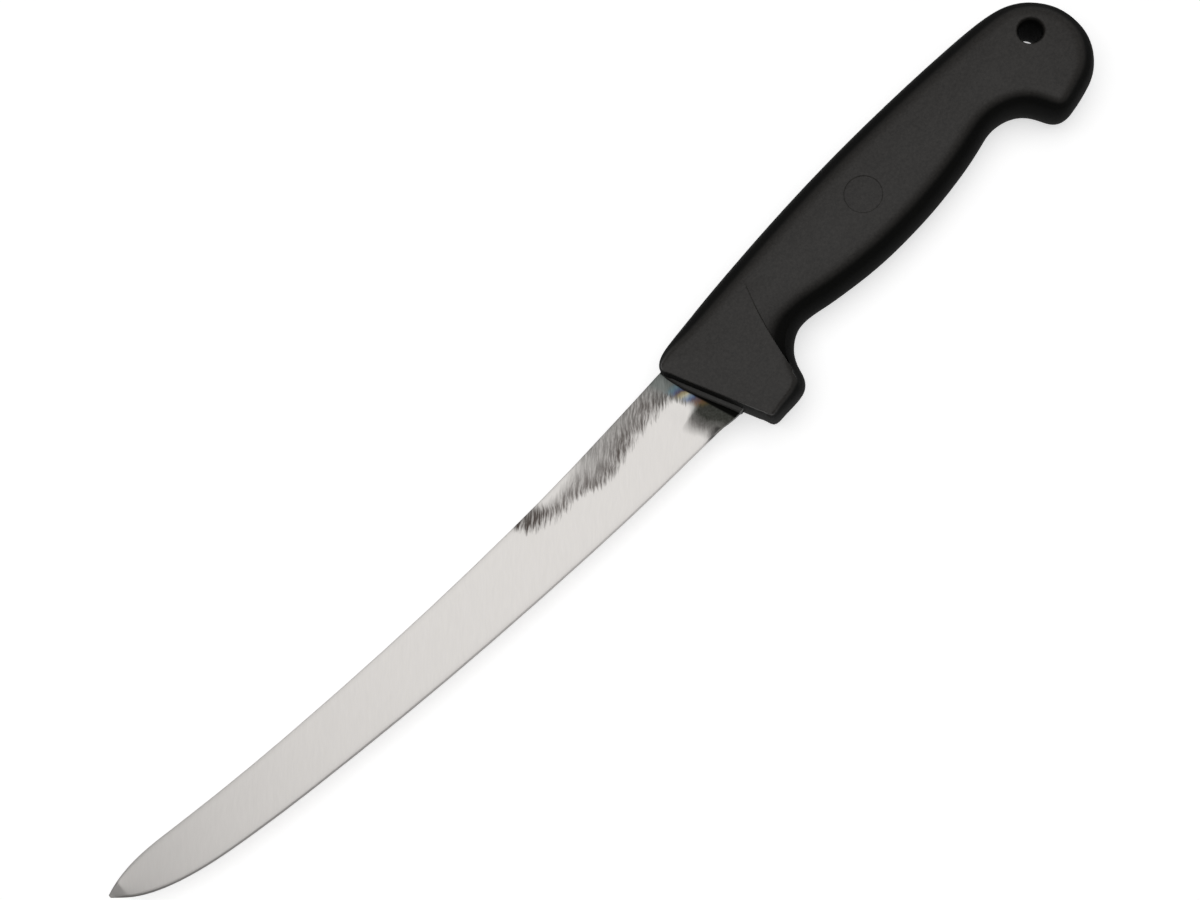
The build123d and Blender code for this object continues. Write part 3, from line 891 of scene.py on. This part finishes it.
    # Loose points between them: more rings, where they don't cross, and a grid
    loose = []
    for angle in spec["innerAngles"]:
        inset = roll * (1 - math.cos(math.radians(angle)))
        ring = outline - outward * inset[:, None]
        loose.append(ring[np.abs(toLoop(ring, outline)[0] - inset) < 0.02])
    least, most = innerRing.min(0), innerRing.max(0)
    rows = np.arange(least[1], most[1], spec["grid"] * math.sqrt(3) / 2)
    gridPoints = np.array([(x + (k % 2) * spec["grid"] / 2, y) for k, y in enumerate(rows)
                           for x in np.arange(least[0], most[0], spec["grid"])])
    away, width = rollAt(gridPoints)
    loose.append(gridPoints[away > width + spec["clear"]])
    loose = np.vstack(loose)
    loose = loose[insideLoop(loose, innerRing)]
    keep = np.hypot(loose[:, 0] - holeX, loose[:, 1] - holeY) > holeRadius
    for line in lines:
        keep &= toLoop(loose, line)[0] > spec["clear"]
    side, _ = creaseSide(loose)
    nearCrease = np.hypot(*(loose - crease.mean(0)).T) < spec["creaseReach"]
    keep &= ~(nearCrease & (np.abs(side - spec["creaseWall"] / 2) < spec["creaseClear"]))
    points.append(loose[keep])

    corners, _, triangles, _, _, _ = geometry.delaunay_2d_cdt(
        [Vector(p) for p in np.vstack(points)], edges, [], 0, 1e-6)
    corners = np.array([tuple(c) for c in corners])
    triangles = np.array([t for t in triangles if len(t) == 3])
    throat = circleAt((holeX, holeY), holeRadius, spec["holePoints"])
    middles = corners[triangles].mean(1)
    triangles = triangles[insideLoop(middles, innerRing) & ~insideLoop(middles, throat)]
    heights = heightAt(corners)
    heights[toLoop(corners, innerRing)[0] < 1e-4] = rings[-1][0, 2]
    throatHeights = heightAt(throat)

    # The rolled edge, both flanks, and the hole's wall
    levels = rings[:0:-1] + [rings[0]] + [ring * (1, 1, -1) for ring in rings[1:]]
    vertices = np.vstack(levels).tolist()
    faces = wallFaces(0, len(levels), len(outline))
    for sign in (1, -1):
        start = len(vertices)
        vertices += np.column_stack([corners, sign * heights]).tolist()
        faces += [tuple(start + k for k in t[::sign]) for t in triangles.tolist()]
    faces += wallFaces(len(vertices), spec["wallLevels"], len(throat), inwards=True)
    for level in np.linspace(1, -1, spec["wallLevels"]):
        vertices += np.column_stack([throat, level * throatHeights]).tolist()

    mesh = bpy.data.meshes.new("handle_faces")
    mesh.from_pydata([tuple((np.array(v) + datum) * mm) for v in vertices], [], faces)
    shape = mergedShape(mesh, 0.005 * mm)
    bpy.data.meshes.remove(mesh)
    bmesh.ops.recalc_face_normals(shape, faces=shape.faces)
    return solidObject("handle_grip", shape, gripPlastic, 32)


handleGrip = makeHandle(handleSet)
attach(handleGrip, "root")
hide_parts("handle")


# Stage: a white paper floor whose sides rise far away, so that it fills the picture, two lamps and
# a weak plain world. Lengths are in m
stageSet = {
    "floorSize": 12.0,
    "floorDepth": 0.02 * mm,
    "rimReach": 3.0,
    "rimHeight": 3.0,
    "floorColour": "#d0d0d0",
    "floorRoughness": 0.9,
    "lift": 0.6,                      # added where the floor is seen, which makes it white
    "world": 0.12,
    "softbox": {"place": (0.05, 0.10, 0.9), "lookAt": (0.02, 0.0, 0), "size": (1.25, 0.85),
                "radiance": 1.28},
    "fill": {"place": (0.0, 0.0, 1.5), "lookAt": (0.0, 0.0, 0), "size": (2.4, 2.4), "radiance": 0.5},
}


def makeFloor(spec):
    half = spec["floorSize"] / 2
    wide = half + spec["rimReach"]
    corners = [(-1, -1), (1, -1), (1, 1), (-1, 1)]
    vertices = [(x * half, y * half, -spec["floorDepth"]) for x, y in corners]
    vertices += [(x * wide, y * wide, spec["rimHeight"]) for x, y in corners]
    sides = [(4 + k, 4 + (k + 1) % 4, (k + 1) % 4, k) for k in range(4)]
    mesh = bpy.data.meshes.new("floor")
    mesh.from_pydata(vertices, [], [(0, 1, 2, 3)] + sides)
    floor = addObject("floor", mesh)

    # White paper: matt and even. What sees it finds it lifted to white, with the knife's shadow on it
    material = bpy.data.materials.new("white_paper_floor")
    material.use_nodes = True
    tree = material.node_tree
    add = partial(addNode, tree)
    shader = tree.nodes["Principled BSDF"]
    shader.inputs["Base Color"].default_value = toLinear(spec["floorColour"])
    shader.inputs["Roughness"].default_value = spec["floorRoughness"]
    rays = add("ShaderNodeLightPath").outputs
    seen = rays["Is Camera Ray"]
    for kind in ("Is Glossy Ray", "Is Transmission Ray"):
        seen = add("ShaderNodeMath", {0: seen, 1: rays[kind]}, operation="MAXIMUM")
    lift = add("ShaderNodeMath", {0: seen, 1: spec["lift"]}, operation="MULTIPLY")
    shader.inputs["Emission Color"].default_value = (1, 1, 1, 1)
    tree.links.new(lift.outputs[0], shader.inputs["Emission Strength"])
    mesh.materials.append(material)


makeFloor(stageSet)


def makeLamp(name, spec):
    data = bpy.data.lights.new(name, "AREA")
    data.shape = "RECTANGLE"
    data.size, data.size_y = spec["size"]
    data.energy = spec["radiance"] * math.pi * data.size * data.size_y
    lamp = addObject(name, data)
    lamp.location = spec["place"]
    lamp.rotation_mode = "QUATERNION"
    away = Vector(spec["place"]) - Vector(spec["lookAt"])
    lamp.rotation_quaternion = away.to_track_quat("Z", "Y")
    return lamp


makeLamp("softbox", stageSet["softbox"])
makeLamp("fill", stageSet["fill"]).visible_glossy = False

world = bpy.data.worlds.new("studio")
world.use_nodes = True
bpy.context.scene.world = world
world.node_tree.nodes["Background"].inputs["Color"].default_value = (1, 1, 1, 1)
world.node_tree.nodes["Background"].inputs["Strength"].default_value = stageSet["world"]
print("stage: floor, lamps and world made")
bpy.context.scene.view_settings.view_transform = "Standard"
